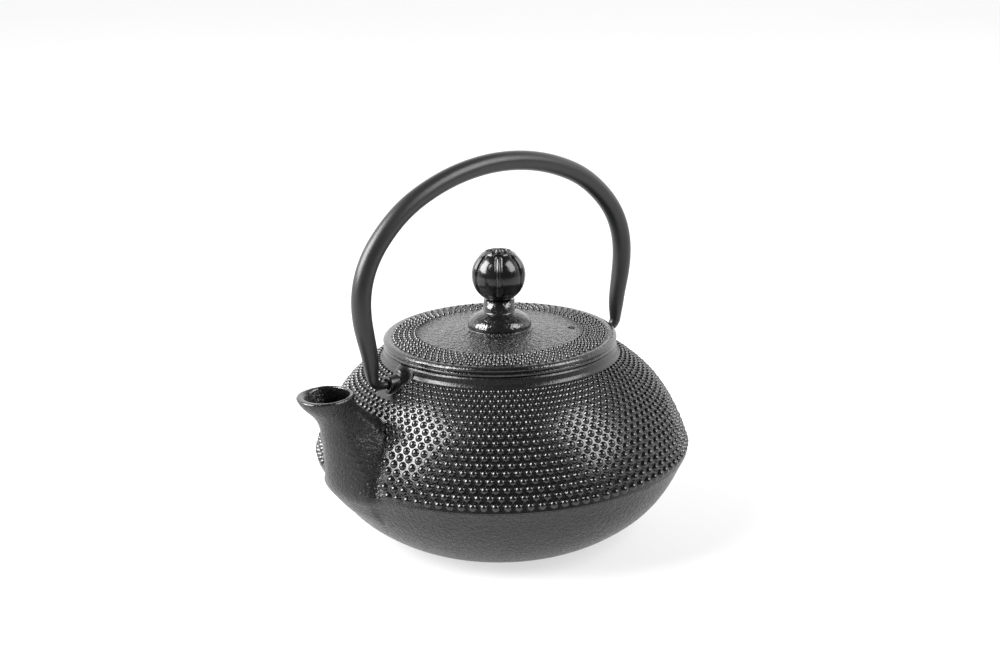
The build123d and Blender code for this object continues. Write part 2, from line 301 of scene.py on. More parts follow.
def smooth_min(a, b, k):
    """Lower of two distance fields, rounded where they cross within k."""
    h = np.maximum(k - np.abs(a - b), 0) / k
    return np.minimum(a, b) - h * h * k / 4


def smooth_max(a, b, k):
    return -smooth_min(-a, -b, k)


LID_TOP_LINE = smooth_curve([LID_EDGE[-1], *LID_TOP, LID_FLANGE[0]])
BOWL_LINE = smooth_curve([*BOWL, WAIST])
SHOULDER_LINE = smooth_curve([WAIST, *SHOULDER, COLLAR_FOOT])
OUTER_LINE = np.vstack([BOWL_LINE, SHOULDER_LINE[1:], [COLLAR_TOP]])
CAVITY_LINE = np.vstack([
    smooth_curve([CAVITY_FLOOR, *CAVITY_LOWER, CAVITY_WAIST]),
    smooth_curve([CAVITY_WAIST, *CAVITY_UPPER, CAVITY_ROOF])[1:],
])


def turned_field(p, line):
    """Rough distance outside a turned shape whose radius at each height is given by a line."""
    step = 0.5
    steepest = 2
    radius = np.interp(p[..., 2], line[:, 1], line[:, 0])
    above = np.interp(p[..., 2] + step, line[:, 1], line[:, 0])
    slope = (above - radius) / step
    return (np.hypot(p[..., 0], p[..., 1]) - radius) / np.sqrt(1 + np.minimum(slope ** 2, steepest ** 2))


def body_field(p):
    return np.maximum(turned_field(p, OUTER_LINE), p[..., 2] - COLLAR_TOP[1])


def cavity_field(p):
    """Distance outside the cavity, which counts as far away above its roof."""
    far = 5.0
    below_roof = np.maximum(turned_field(p, CAVITY_LINE), CAVITY_FLOOR[1] - p[..., 2])
    return np.where(p[..., 2] < CAVITY_ROOF[1], below_roof, far)


def rows_at(rows, z):
    """Each column of a table of rows keyed by height, read smoothly at heights z."""
    table = np.array(rows, float)
    dense = smooth_curve(table, per_span=6)
    return [np.interp(z, dense[:, 0], dense[:, column]) for column in range(1, table.shape[1])]


def spout_field(p):
    """Distance outside the spout: a round front that meets concave sides at a ridge, and a round back."""
    z = p[..., 2]
    front_x, ridge_x, ridge_y, side_x, side_y, back_x = rows_at(SPOUT_ROWS, z)
    x = p[..., 0]
    y = np.abs(p[..., 1])
    depth = ridge_x - front_x
    radius = (depth ** 2 + ridge_y ** 2) / (2 * depth)
    front = np.hypot(x - front_x - radius, y) - radius
    share = np.clip((x - ridge_x) / (side_x - ridge_x), 0, 1)
    flank = (y - ridge_y - (side_y - ridge_y) * share ** 2) * SPOUT_FLANK_SLOPE
    reach = back_x - side_x
    rear = (np.hypot(np.maximum(x - side_x, 0) / reach, y / side_y) - 1) * np.minimum(reach, side_y)
    side = smooth_max(front, np.where(x > side_x, rear, flank), SPOUT_RIDGE_ROUNDING)
    top = SPOUT_TOP - SPOUT_TILT * np.maximum(SPOUT_LEVEL_X - x, 0)
    open_top = smooth_max(side, z - top, SPOUT_LIP_ROUNDING)
    return smooth_max(open_top, SPOUT_ROWS[0][0] - z, SPOUT_HEEL_ROUNDING)


def channel_field(p):
    z = np.maximum(p[..., 2], CHANNEL_ROWS[0][0])
    centre, radius = rows_at(CHANNEL_ROWS, z)
    side = np.hypot(p[..., 0] - centre, p[..., 1]) - radius
    return np.maximum(side, CHANNEL_ROWS[0][0] - p[..., 2])


def spout_casting(p):
    """Body and spout as one casting, with the pouring channel and the pot's cavity open."""
    solid = smooth_min(body_field(p) + BLEND_SINK, spout_field(p), SPOUT_FILLET)
    hollow = np.minimum(channel_field(p), cavity_field(p))
    return smooth_max(solid, -hollow, HOLLOW_ROUNDING)


def ear_field(p):
    """Distance outside one lug on the +X side, a round-headed ear that narrows outward, with its boss."""
    x = p[..., 0]
    share = np.clip((x - LUG_INNER[0]) / (LUG_OUTER[0] - LUG_INNER[0]), 0, 1)
    half = LUG_INNER[1] + share * (LUG_OUTER[1] - LUG_INNER[1])
    top = LUG_INNER[2] + share * (LUG_OUTER[2] - LUG_INNER[2])
    head = np.hypot(p[..., 1], np.maximum(p[..., 2] - (top - half), 0)) - half
    middle = (LUG_INNER[0] + LUG_OUTER[0]) / 2
    thickness = LUG_OUTER[0] - LUG_INNER[0]
    ear = smooth_max(head, np.abs(x - middle) - thickness / 2, LUG_EDGE)
    boss = np.hypot(p[..., 1], p[..., 2] - HINGE_HEIGHT) - BOSS_RADIUS
    boss = smooth_max(boss, np.maximum(x - BOSS_END, BOSS_START - x), BOSS_EDGE)
    return smooth_min(ear, boss, BOSS_FILLET)


def hole_field(p):
    side = np.hypot(p[..., 1], p[..., 2] - HINGE_HEIGHT) - HOLE_RADIUS
    return np.maximum(side, HOLE_END - p[..., 0])


def lug_casting(p):
    """Body and one lug as one casting, trimmed clear of the lid and drilled for the bail."""
    solid = smooth_min(body_field(p) + BLEND_SINK, ear_field(p), LUG_FILLET)
    lid_space = np.maximum(np.hypot(p[..., 0], p[..., 1]) - LID_CLEARANCE, COLLAR_TOP[1] - p[..., 2])
    return smooth_max(np.maximum(solid, -lid_space), -hole_field(p), HOLE_ROUNDING)


# ---------------------------------------------------------------- meshes

def grid_points(box, cell):
    low, high = np.array(box[0], float), np.array(box[1], float)
    counts = np.ceil((high - low) / cell).astype(int) + 1
    axes = [low[i] + cell * np.arange(counts[i]) for i in range(3)]
    return np.stack(np.meshgrid(*axes, indexing="ij"), axis=-1)


def crossings(values, axis):
    """Where values on a grid change sign along an axis.

    Returns the places in cell units, the four cells round each, and whether the value falls there.
    """
    order = (axis, (axis + 1) % 3, (axis + 2) % 3)
    turned = np.transpose(values, order)
    low, high = turned[:-1], turned[1:]
    i, j, k = np.nonzero((low < 0) != (high < 0))
    inside = (j > 0) & (j < turned.shape[1] - 1) & (k > 0) & (k < turned.shape[2] - 1)
    i, j, k = i[inside], j[inside], k[inside]
    a, b = low[i, j, k], high[i, j, k]
    place = np.zeros((len(i), 3))
    for column, where in zip(order, (i + a / (a - b), j, k)):
        place[:, column] = where
    ring = []
    for dj, dk in ((-1, -1), (0, -1), (0, 0), (-1, 0)):
        index = np.zeros((len(i), 3), int)
        for column, where in zip(order, (i, j + dj, k + dk)):
            index[:, column] = where
        ring.append(np.ravel_multi_index(index.T, np.array(values.shape) - 1))
    falling = a >= 0
    return place, ring, falling


def surface_of(field, box, cell, settle=4):
    """Vertices and quads where a field is zero: one vertex per crossed cell, then moved onto the surface."""
    values = field(grid_points(box, cell))
    cell_count = (np.array(values.shape) - 1).prod()
    sums = np.zeros((cell_count, 3))
    hits = np.zeros(cell_count)
    quads = []
    for axis in range(3):
        place, ring, falling = crossings(values, axis)
        for flat in ring:
            np.add.at(sums, flat, place)
            np.add.at(hits, flat, 1)
        quad = np.stack(ring, axis=1)
        quad[falling] = quad[falling][:, ::-1]
        quads.append(quad)
    quads = np.vstack(quads)
    used, faces = np.unique(quads, return_inverse=True)
    verts = np.array(box[0]) + cell * sums[used] / hits[used][:, None]
    return settle_on(field, verts, settle, cell), faces.reshape(quads.shape)


def settle_on(field, verts, rounds, cell):
    """Moves points onto the zero of a field by Newton steps no longer than half a cell."""
    step = 0.02
    flattest = 0.05
    for _ in range(rounds):
        value = field(verts)
        slope = np.stack([
            (field(verts + offset) - field(verts - offset)) / (2 * step)
            for offset in np.eye(3) * step
        ], axis=1)
        size = np.maximum((slope ** 2).sum(axis=1), flattest)
        move = -(value / size)[:, None] * slope
        length = np.linalg.norm(move, axis=1)[:, None]
        verts = verts + move * np.minimum(1, 0.5 * cell / np.maximum(length, 1e-9))
    return verts


def keep_faces(verts, faces, wanted):
    """The faces whose every corner is wanted, with the unused vertices dropped."""
    faces = faces[wanted[faces].all(axis=1)]
    used, faces = np.unique(faces, return_inverse=True)
    return verts[used], faces.reshape(-1, 4)


def add_mesh(name, verts, faces, body, material, nodes=()):
    """A mesh piece in millimetres, shaded, on its body and what it replaces."""
    mesh = bpy.data.meshes.new(name)
    mesh.from_pydata((np.asarray(verts) * MM).tolist(), [], [list(map(int, face)) for face in faces])
    mesh.validate()
    mesh.polygons.foreach_set("use_smooth", [True] * len(mesh.polygons))
    mesh.materials.append(material)
    piece = bpy.data.objects.new(name, mesh)
    bpy.context.collection.objects.link(piece)
    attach(piece, body)
    if nodes:
        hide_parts(*nodes)
    return piece


def paint_above(piece, material, height, inner_radius):
    """Gives another material to the faces above a height and outside a radius, both in millimetres."""
    piece.data.materials.append(material)
    index = len(piece.data.materials) - 1
    for face in piece.data.polygons:
        x, y, z = face.center / MM
        if z > height and math.hypot(x, y) > inner_radius:
            face.material_index = index


def grid_faces(rows, columns):
    """Quads between neighbouring rows of a grid whose columns close into a ring."""
    row = np.arange(rows - 1)[:, None] * columns
    column = np.arange(columns)[None]
    after = (column + 1) % columns
    faces = np.stack([row + column, row + columns + column, row + columns + after, row + after], axis=-1)
    return faces.reshape(-1, 4)


def turned_mesh(line, segments):
    """Vertices and quads of a line of (radius, height) turned about the axis."""
    angles = np.arange(segments) * TAU / segments
    line = np.asarray(line, float)
    verts = np.stack([
        np.outer(line[:, 0], np.cos(angles)),
        np.outer(line[:, 0], np.sin(angles)),
        np.repeat(line[:, 1:2], segments, axis=1),
    ], axis=-1).reshape(-1, 3)
    return verts, grid_faces(len(line), segments)[:, [0, 3, 2, 1]]


def split_corners(line, ease=0.12):
    """Swaps each corner for three close points, so that it stays crisp under smooth shading."""
    gentle = math.radians(12)
    line = np.asarray(line, float)
    out = [line[0]]
    for before, here, after in zip(line[:-2], line[1:-1], line[2:]):
        a, b = here - before, after - here
        la, lb = np.linalg.norm(a), np.linalg.norm(b)
        turn = math.acos(np.clip(np.dot(a, b) / max(la * lb, 1e-9), -1, 1))
        if turn < gentle:
            out.append(here)
            continue
        reach = min(ease, la / 3, lb / 3)
        out.extend([here - a / la * reach, here + (b / lb - a / la) * reach * 0.25, here + b / lb * reach])
    out.append(line[-1])
    return np.array(out)


def tube_mesh(centres, radii, sides):
    """Vertices and quads of an open round tube along points in the XZ plane."""
    along = np.gradient(centres, axis=0)
    along /= np.linalg.norm(along, axis=1)[:, None]
    first = np.tile([0.0, 1.0, 0.0], (len(centres), 1))
    second = np.cross(along, first)
    angles = np.arange(sides) * TAU / sides
    cos = np.cos(angles)[None, :, None]
    sin = np.sin(angles)[None, :, None]
    rings = centres[:, None] + radii[:, None, None] * (cos * first[:, None] + sin * second[:, None])
    return rings.reshape(-1, 3), grid_faces(len(centres), sides)


# ---------------------------------------------------------------- materials

def new_material(name):
    material = bpy.data.materials.new(name)
    material.use_nodes = True
    tree = material.node_tree
    return material, tree, tree.nodes["Principled BSDF"]


def noise(tree, scale, detail=2.0, roughness=0.5, distortion=0.0):
    """Noise texture over the object's own coordinates."""
    coords = tree.nodes.new("ShaderNodeTexCoord")
    texture = tree.nodes.new("ShaderNodeTexNoise")
    texture.inputs["Scale"].default_value = scale
    texture.inputs["Detail"].default_value = detail
    texture.inputs["Roughness"].default_value = roughness
    texture.inputs["Distortion"].default_value = distortion
    tree.links.new(coords.outputs["Object"], texture.inputs["Vector"])
    return texture.outputs["Fac"]


def ramp(tree, source, low, high):
    """Map a value through two (position, grey) stops, or (position, colour) stops."""
    node = tree.nodes.new("ShaderNodeValToRGB")
    for element, (position, value) in zip(node.color_ramp.elements, (low, high)):
        element.position = position
        element.color = (value, value, value, 1) if isinstance(value, float) else (*value, 1)
    tree.links.new(source, node.inputs["Fac"])
    return node.outputs["Color"]


def bump(tree, height, distance, strength, previous=None):
    node = tree.nodes.new("ShaderNodeBump")
    node.inputs["Distance"].default_value = distance
    node.inputs["Strength"].default_value = strength
    tree.links.new(height, node.inputs["Height"])
    if previous is not None:
        tree.links.new(previous, node.inputs["Normal"])
    return node.outputs["Normal"]


def iron_material(name, colours, gloss, grain, depth, pits=0.0, shine=0.0):
    """Black enamel over cast iron: sandy grain, small pits and a slow change of colour.

    Colours and gloss are pairs to blend between, grain is cells per metre, and depth and pits are in metres.
    """
    material, tree, shader = new_material(name)
    slow = noise(tree, 90, detail=3)
    fine = noise(tree, grain, detail=1, roughness=0.5)
    tree.links.new(ramp(tree, slow, (0.3, colours[0]), (0.7, colours[1])), shader.inputs["Base Color"])
    tree.links.new(ramp(tree, fine, (0.35, gloss[0]), (0.65, gloss[1])), shader.inputs["Roughness"])
    shader.inputs["Specular IOR Level"].default_value = 0.5 + shine
    normal = bump(tree, fine, depth, 1.0)
    if pits:
        coarse = noise(tree, grain * 0.45, detail=2, roughness=0.5)
        normal = bump(tree, ramp(tree, coarse, (0.42, 0.0), (0.62, 1.0)), pits, 1.0, normal)
    tree.links.new(normal, shader.inputs["Normal"])
    return material


def steel_material(name, roughness):
    material, tree, shader = new_material(name)
    fine = noise(tree, 900, detail=2)
    colour = ramp(tree, fine, (0.3, STEEL_GREYS[0]), (0.7, STEEL_GREYS[1]))
    tree.links.new(colour, shader.inputs["Base Color"])
    tree.links.new(ramp(tree, fine, (0.3, roughness), (0.7, roughness + 0.12)), shader.inputs["Roughness"])
    shader.inputs["Metallic"].default_value = 1.0
    tree.links.new(bump(tree, fine, 0.00002, 0.5), shader.inputs["Normal"])
    return material


BLACK = ((0.0045, 0.0045, 0.0048), (0.0080, 0.0080, 0.0085))
PAINT_BLACK = ((0.010, 0.010, 0.0105), (0.014, 0.014, 0.0145))
STEEL_GREYS = ((0.50, 0.50, 0.49), (0.66, 0.66, 0.65))

sandy_iron = iron_material("iron_sandy", BLACK, (0.24, 0.38), 1500, 0.00032, pits=0.00016)
spout_iron = iron_material("iron_spout", BLACK, (0.26, 0.40), 1700, 0.00026, pits=0.00010)
lid_iron = iron_material("iron_lid", BLACK, (0.16, 0.28), 1450, 0.00055, pits=0.00022, shine=0.5)
cushion_iron = iron_material("iron_cushion", BLACK, (0.14, 0.26), 900, 0.00022, shine=0.2)
rim_iron = iron_material("iron_rim", BLACK, (0.14, 0.24), 1500, 0.00012, shine=0.2)
collar_iron = iron_material("iron_collar", BLACK, (0.24, 0.34), 1500, 0.00006)
smooth_iron = iron_material("iron_plain", BLACK, (0.28, 0.38), 2200, 0.00002)
gap_iron = iron_material("iron_between_nails", BLACK, (0.20, 0.30), 2200, 0.00002, shine=0.25)
nail_iron = iron_material("iron_nails", BLACK, (0.12, 0.21), 2200, 0.00002, shine=0.2)
knob_iron = iron_material("iron_gloss", BLACK, (0.13, 0.21), 900, 0.00003)
bail_paint = iron_material("bail_satin", PAINT_BLACK, (0.34, 0.40), 2500, 0.000008)
sheet_steel = steel_material("steel_sheet", 0.22)
wire_steel = steel_material("steel_wire", 0.3)


# ---------------------------------------------------------------- the pot

def nail_rows():
    """Radius, height and unit outward normal of each nail row, from the waist up."""
    reach = 0.5
    line = SHOULDER_LINE
    steps = np.linalg.norm(np.diff(line, axis=0), axis=1)
    length = np.concatenate([[0], np.cumsum(steps)])

    def point_at(along):
        return np.interp(along, length, line[:, 0]), np.interp(along, length, line[:, 1])

    along = NAIL_WAIST_MARGIN
    rows = []
    for _ in range(NAIL_ROWS):
        r, z = point_at(along)
        ahead_r, ahead_z = point_at(min(along + reach, length[-1]))
        behind_r, behind_z = point_at(along - reach)
        dr, dz = ahead_r - behind_r, ahead_z - behind_z
        size = math.hypot(dr, dz)
        rows.append((r, z, dz / size, -dr / size))
        along += NAIL_ROW_RATIO * TAU * r / NAIL_COUNT
    return rows


def nail_faces():
    """Faces of one nail: rings of quads from the skirt up, and triangles round the top."""
    levels = len(NAIL_OUTLINE)
    quads = grid_faces(levels, NAIL_SIDES)[:, [0, 3, 2, 1]].tolist()
    last = (levels - 1) * NAIL_SIDES
    top = levels * NAIL_SIDES
    return quads + [(last + k, last + (k + 1) % NAIL_SIDES, top) for k in range(NAIL_SIDES)]


def nail_mesh(centres, normals, bases, heights):
    """Domes standing on a surface, one for each centre."""
    angles = np.arange(NAIL_SIDES) * TAU / NAIL_SIDES
    cos = np.cos(angles)[None, :, None]
    sin = np.sin(angles)[None, :, None]
    side = np.cross([0.0, 0.0, 1.0], normals)
    side /= np.linalg.norm(side, axis=1)[:, None]
    other = np.cross(normals, side)
    around = cos * side[:, None] + sin * other[:, None]
    rings = []
    for share, rise in NAIL_OUTLINE:
        ring = centres[:, None] + around * (bases * share)[:, None, None]
        rings.append(ring + (normals * (heights * rise)[:, None])[:, None])
    tops = (centres + normals * heights[:, None])[:, None]
    verts = np.concatenate([*rings, tops], axis=1)
    one = nail_faces()
    offsets = np.arange(len(centres)) * verts.shape[1]
    faces = [[corner + offset for corner in face] for offset in offsets for face in one]
    return verts.reshape(-1, 3), faces


def covered_by_castings(points):
    """How far the spout's or a lug's blend stands over the plain shoulder at each point."""
    mirrored = np.column_stack([np.abs(points[:, 0]), points[:, 1:]])
    spout = -smooth_min(np.zeros(len(points)), spout_field(points), SPOUT_FILLET)
    ears = -smooth_min(np.zeros(len(points)), ear_field(mirrored), LUG_FILLET)
    return np.maximum(spout, ears)


def staggered_angles(count, row, spread):
    """Even angles round a ring, half a step on in every other row, each moved a little at random."""
    angles = (np.arange(count) + 0.5 * (row % 2)) * TAU / count
    return angles + rng.normal(0, spread, count)


def shoulder_nails():
    """Nails all over the shoulder, apart from the spout and the pads under the lugs."""
    centres, normals, pitches = [], [], []
    for row, (r, z, nr, nz) in enumerate(nail_rows()):
        angles = staggered_angles(NAIL_COUNT, row, NAIL_TURN_SPREAD)
        cos, sin = np.cos(angles), np.sin(angles)
        centres.append(np.stack([r * cos, r * sin, np.full(NAIL_COUNT, z)], axis=1))
        normals.append(np.stack([nr * cos, nr * sin, np.full(NAIL_COUNT, nz)], axis=1))
        pitches.append(np.full(NAIL_COUNT, TAU * r / NAIL_COUNT))
    centres, normals, pitches = np.vstack(centres), np.vstack(normals), np.concatenate(pitches)
    by_lug = (np.abs(centres[:, 1]) < LUG_PAD[0]) & (np.abs(centres[:, 0]) < LUG_PAD[1])
    free = (covered_by_castings(centres) < NAIL_BARE_ABOVE) & ~by_lug
    centres, normals, pitches = centres[free], normals[free], pitches[free]
    bases = pitches * NAIL_BASE_RATIO * rng.normal(1, NAIL_BASE_SPREAD, len(pitches))
    heights = pitches * NAIL_HEIGHT_RATIO * rng.normal(1, NAIL_HEIGHT_SPREAD, len(pitches))
    upper = centres[:, 2] > NAIL_SPLIT_HEIGHT
    for name, chosen in (("shoulder_nails_lower", ~upper), ("shoulder_nails_upper", upper)):
        verts, faces = nail_mesh(centres[chosen], normals[chosen], bases[chosen], heights[chosen])
        add_mesh(name, verts, faces, "pot", nail_iron)


def pot_outline():
    """Closed outline of the turned casting, from the middle of its base round the outside and back inside."""
    bowl, shoulder = BOWL_LINE[1:-1], SHOULDER_LINE[1:-1]
    base_radius = BOWL[0][0]
    axis = 0.001
    waist = np.array(WAIST)
    eased = [
        waist + (bowl[-1] - waist) * WAIST_EASE,
        waist * [WAIST_TRIM, 1],
        waist + (shoulder[0] - waist) * WAIST_EASE,
    ]
    mouth = [
        (SEAT_RADIUS + SEAT_BEVEL, COLLAR_TOP[1]),
        (SEAT_RADIUS, COLLAR_TOP[1] - SEAT_BEVEL),
        (SEAT_RADIUS, SEAT_HEIGHT),
        (MOUTH_RADIUS + MOUTH_BEVEL[0], SEAT_HEIGHT),
        (MOUTH_RADIUS, SEAT_HEIGHT - MOUTH_BEVEL[1]),
        (MOUTH_RADIUS, CAVITY_ROOF[1]),
        CAVITY_ROOF,
    ]
    return np.vstack([
        [(axis, 0), (base_radius - BASE_BEVEL, 0), (base_radius, BASE_BEVEL / 2)],
        bowl,
        eased,
        shoulder,
        split_corners([shoulder[-1], COLLAR_FOOT, *COLLAR_SIDE, *mouth])[1:],
        CAVITY_LINE[::-1][1:],
        [(axis, CAVITY_FLOOR[1])],
    ])


def pot_casting():
    """The turned body, outside and inside, with the channel's opening left out of it."""
    verts, faces = turned_mesh(pot_outline(), POT_SEGMENTS)
    in_channel = channel_field(verts) < 0
    faces = faces[~in_channel[faces].any(axis=1)]
    piece = add_mesh("pot_casting", verts, faces, "pot", sandy_iron,
                     nodes=["pot_bowl", "pot_shoulder"])
    paint_above(piece, gap_iron, WAIST[1], GAP_FINISH_RADIUS)
    paint_above(piece, collar_iron, COLLAR_FOOT[1] - COLLAR_FINISH_DROP, MOUTH_RADIUS)


def spout_piece():
    """The spout with its blend onto the body and the inside of its channel."""
    verts, faces = surface_of(spout_casting, SPOUT_BOX, SPOUT_CELL)
    proud = body_field(verts) > -KEEP_SINK
    in_channel = (channel_field(verts) < CHANNEL_REACH) & (cavity_field(verts) > -CAVITY_REACH)
    above_cut = verts[:, 2] > SPOUT_BOX[0][2] + SPOUT_BOX_MARGIN
    verts, faces = keep_faces(verts, faces, (proud | in_channel) & above_cut)
    piece = add_mesh("spout_casting", verts, faces, "pot", spout_iron, nodes=["pot_spout"])
    paint_above(piece, rim_iron, SPOUT_TOP - SPOUT_LIP_DEPTH, MOUTH_RADIUS)


def pot_lug(name, side):
    """One lug with its blend onto the body, on the +X or the -X side."""
    verts, faces = surface_of(lug_casting, LUG_BOX, LUG_CELL)
    proud = body_field(verts) > -KEEP_SINK
    in_hole = hole_field(verts) < HOLE_REACH
    verts, faces = keep_faces(verts, faces, proud | in_hole)
    if side < 0:
        verts = verts * [-1, 1, 1]
        faces = faces[:, ::-1]
    add_mesh(name, verts, faces, "pot", smooth_iron)


# ---------------------------------------------------------------- the lid and knob

def lid_outline():
    """Outline of the lid from its bore under the disc, round the skirt and edge, to the top of the neck."""
    return np.vstack([
        split_corners([
            (LID_BORE, LID_UNDERSIDE),
            (LID_SKIRT_INNER, LID_UNDERSIDE),
            (LID_SKIRT_INNER, LID_SKIRT_BOTTOM),
            (LID_EDGE[0][0], LID_SKIRT_BOTTOM),
            *LID_EDGE,
        ])[:-1],
        LID_TOP_LINE[:-1],
        [LID_FLANGE[0], *LID_FLANGE_EASE],
        smooth_curve([LID_FLANGE[-1], *LID_CUSHION], per_span=6)[:-1],
        split_corners([LID_CUSHION[-1], LID_NECK_FOOT, LID_NECK_TOP]),
        [(LID_BORE, LID_NECK_TOP[1])],
    ])


def lid_casting():
    """The lid with its neck, and with the rim and the cushion smoother than the plate."""
    verts, faces = turned_mesh(lid_outline(), LID_SEGMENTS)
    piece = add_mesh("lid_casting", verts, faces, "lid", lid_iron, nodes=["lid"])
    cut_vent(piece)
    paint_above(piece, rim_iron, LID_EDGE[0][1], LID_RIM_RADIUS)
    paint_above(piece, cushion_iron, LID_FLANGE[0][1], 0)


def cut_vent(piece):
    """Opens the vent through the lid with a boolean whose result is applied."""
    x, y, radius = VENT
    bpy.ops.mesh.primitive_cylinder_add(vertices=32, radius=radius * MM, depth=0.02,
                                        location=(x * MM, y * MM, LID_UNDERSIDE * MM))
    cutter = bpy.context.object
    modifier = piece.modifiers.new("vent", "BOOLEAN")
    modifier.operation = "DIFFERENCE"
    modifier.solver = "EXACT"
    modifier.object = cutter
    bpy.context.view_layer.objects.active = piece
    bpy.context.view_layer.update()
    depsgraph = bpy.context.evaluated_depsgraph_get()
    result = bpy.data.meshes.new_from_object(piece.evaluated_get(depsgraph))
    piece.modifiers.clear()
    piece.data = result
    bpy.data.objects.remove(cutter, do_unlink=True)


def lid_nails():
    """Rings of small nails on the lid's plate, near its edge."""
    centres = []
    for row, radius in enumerate(LID_NAIL_RINGS):
        angles = staggered_angles(LID_NAIL_COUNT, row, LID_NAIL_TURN_SPREAD)
        height = np.interp(radius, LID_TOP_LINE[::-1, 0], LID_TOP_LINE[::-1, 1])
        ring = [radius * np.cos(angles), radius * np.sin(angles), np.full(LID_NAIL_COUNT, height)]
        centres.append(np.stack(ring, axis=1))
    centres = np.vstack(centres)
    normals = np.tile([LID_NAIL_LEAN, 0.0, 1.0], (len(centres), 1))
    normals /= np.linalg.norm(normals, axis=1)[:, None]
    bases = LID_NAIL_RADIUS * rng.normal(1, LID_NAIL_BASE_SPREAD, len(centres))
    heights = LID_NAIL_HEIGHT * rng.normal(1, LID_NAIL_HEIGHT_SPREAD, len(centres))
    verts, faces = nail_mesh(centres, normals, bases, heights)
    add_mesh("lid_nails", verts, faces, "lid", nail_iron)


def ridge(distance, offset, width, power=2):
    """Bell curve of height 1 about an offset."""
    return np.exp(-(((distance - offset) / width) ** power))


def knob_surface(azimuth, polar):
    """Radius of the ball at each direction: beaded ribs between two grooves, fading at the poles."""
    spacing = TAU / KNOB_RIBS
    across = (azimuth + spacing / 2) % spacing - spacing / 2
    distance = np.abs(across) * KNOB_RADIUS * np.sin(polar)
    bead = KNOB_BEAD[0] * ridge(distance, 0, KNOB_BEAD[1])
    groove = KNOB_GROOVE[0] * ridge(distance, *KNOB_GROOVE[1:])
    fade = np.clip((polar - KNOB_FADE_TOP[0]) / KNOB_FADE_TOP[1], 0, 1)
    fade *= np.clip((KNOB_FADE_FOOT[0] - polar) / KNOB_FADE_FOOT[1], 0, 1)
    return KNOB_RADIUS + (bead - groove) * fade


def knob_ball():
    """The ball under its crown, with one rib turned to the pot's front left."""
    rows, columns = KNOB_GRID
    azimuths = np.arange(columns) * TAU / columns + KNOB_TURN + math.radians(30)
    polars = np.linspace(math.asin(CROWN_RADIUS / KNOB_RADIUS) - 0.02, KNOB_FOOT_ANGLE, rows)
    polar, azimuth = np.meshgrid(polars, azimuths, indexing="ij")
    radius = knob_surface(azimuth - KNOB_TURN, polar)
    verts = np.stack([
        radius * np.sin(polar) * np.cos(azimuth),
        radius * np.sin(polar) * np.sin(azimuth),
        KNOB_CENTRE + radius * np.cos(polar),
    ], axis=-1).reshape(-1, 3)
    faces = grid_faces(rows, columns)
    add_mesh("knob_ball", verts, faces, "lid", knob_iron, nodes=["lid_knob"])


def crown_relief(radius, angle):
    """Height of the crown's lip, rings, petals and boss over its plain top."""
    rings = sum(height * ridge(radius, place, width) for height, place, width in CROWN_RINGS)
    petal = 0.5 + 0.5 * np.cos(CROWN_PETALS * angle)
    height, place, width = CROWN_PETAL_RING
    petals = height * ridge(radius, place, width) * petal ** 0.6
    boss = CROWN_BOSS_HEIGHT * ridge(radius, 0, 1.0, power=4)
    fade = np.clip((CROWN_RADIUS - radius) / 0.3, 0, 1)
    return (rings + petals + boss) * fade


def knob_crown():
    """Ring lip and six-petal rosette on top of the ball."""
    rows, columns = CROWN_GRID
    angles = np.arange(columns) * TAU / columns
    radii = np.linspace(0.02, CROWN_RADIUS, rows)
    radius, angle = np.meshgrid(radii, angles, indexing="ij")
    ball = KNOB_CENTRE + np.sqrt(KNOB_RADIUS ** 2 - radius ** 2)
    shell = np.minimum(ball, CROWN_BASE + CROWN_SWELL * (1 - (radius / CROWN_RADIUS) ** 2))
    height = shell + crown_relief(radius, angle) - CROWN_SINK
    verts = np.stack([radius * np.cos(angle), radius * np.sin(angle), height], axis=-1).reshape(-1, 3)
    add_mesh("knob_crown", verts, grid_faces(rows, columns), "lid", knob_iron)


# ---------------------------------------------------------------- the bail

def bail_path():
    """Centre line (x, z) and bar radius from one tip over the crown to the other."""
    stations = [(x, HINGE_HEIGHT, TIP_RADIUS) for x in (TIP_START, (TIP_START + TIP_END) / 2)]
    for step in range(BEND_STEPS + 1):
        share = step / BEND_STEPS
        angle = share * math.pi / 2
        x = TIP_END + BEND_RADIUS * math.sin(angle)
        z = HINGE_HEIGHT + BEND_RADIUS - BEND_RADIUS * math.cos(angle)
        stations.append((x, z, TIP_RADIUS + (BEND_BAR - TIP_RADIUS) * share))
    half = stations + LEG + ARCH + [CROWN]
    return smooth_curve(half + [(-x, z, r) for x, z, r in half[-2::-1]])


def bail_bar():
    """The bar with a flat cap at each tip."""
    path = bail_path()
    centres = np.stack([path[:, 0], np.zeros(len(path)), path[:, 1]], axis=1)
    verts, faces = tube_mesh(centres, path[:, 2], BAIL_SIDES)
    first = list(range(BAIL_SIDES))
    last = list(range(len(verts) - BAIL_SIDES, len(verts)))
    piece = add_mesh("bail_bar", verts, faces.tolist() + [first, last[::-1]], "bail",
                     bail_paint, nodes=["bail_handle"])
    for face in piece.data.polygons:
        face.use_smooth = len(face.vertices) == 4


# ---------------------------------------------------------------- the infuser

def basket_radius(z):
    """Radius of the wall's wires at each height."""
    heights = (BASKET_BOTTOM[1], BASKET_TOP[1])
    radii = (BASKET_BOTTOM[0], BASKET_TOP[0])
    return np.interp(z, heights, radii) - MESH_INSET


def woven(count, index, weave):
    """Offsets of one wire's points, in turn to one side and the other."""
    return weave * np.where((np.arange(count) + index) % 2, 1, -1)


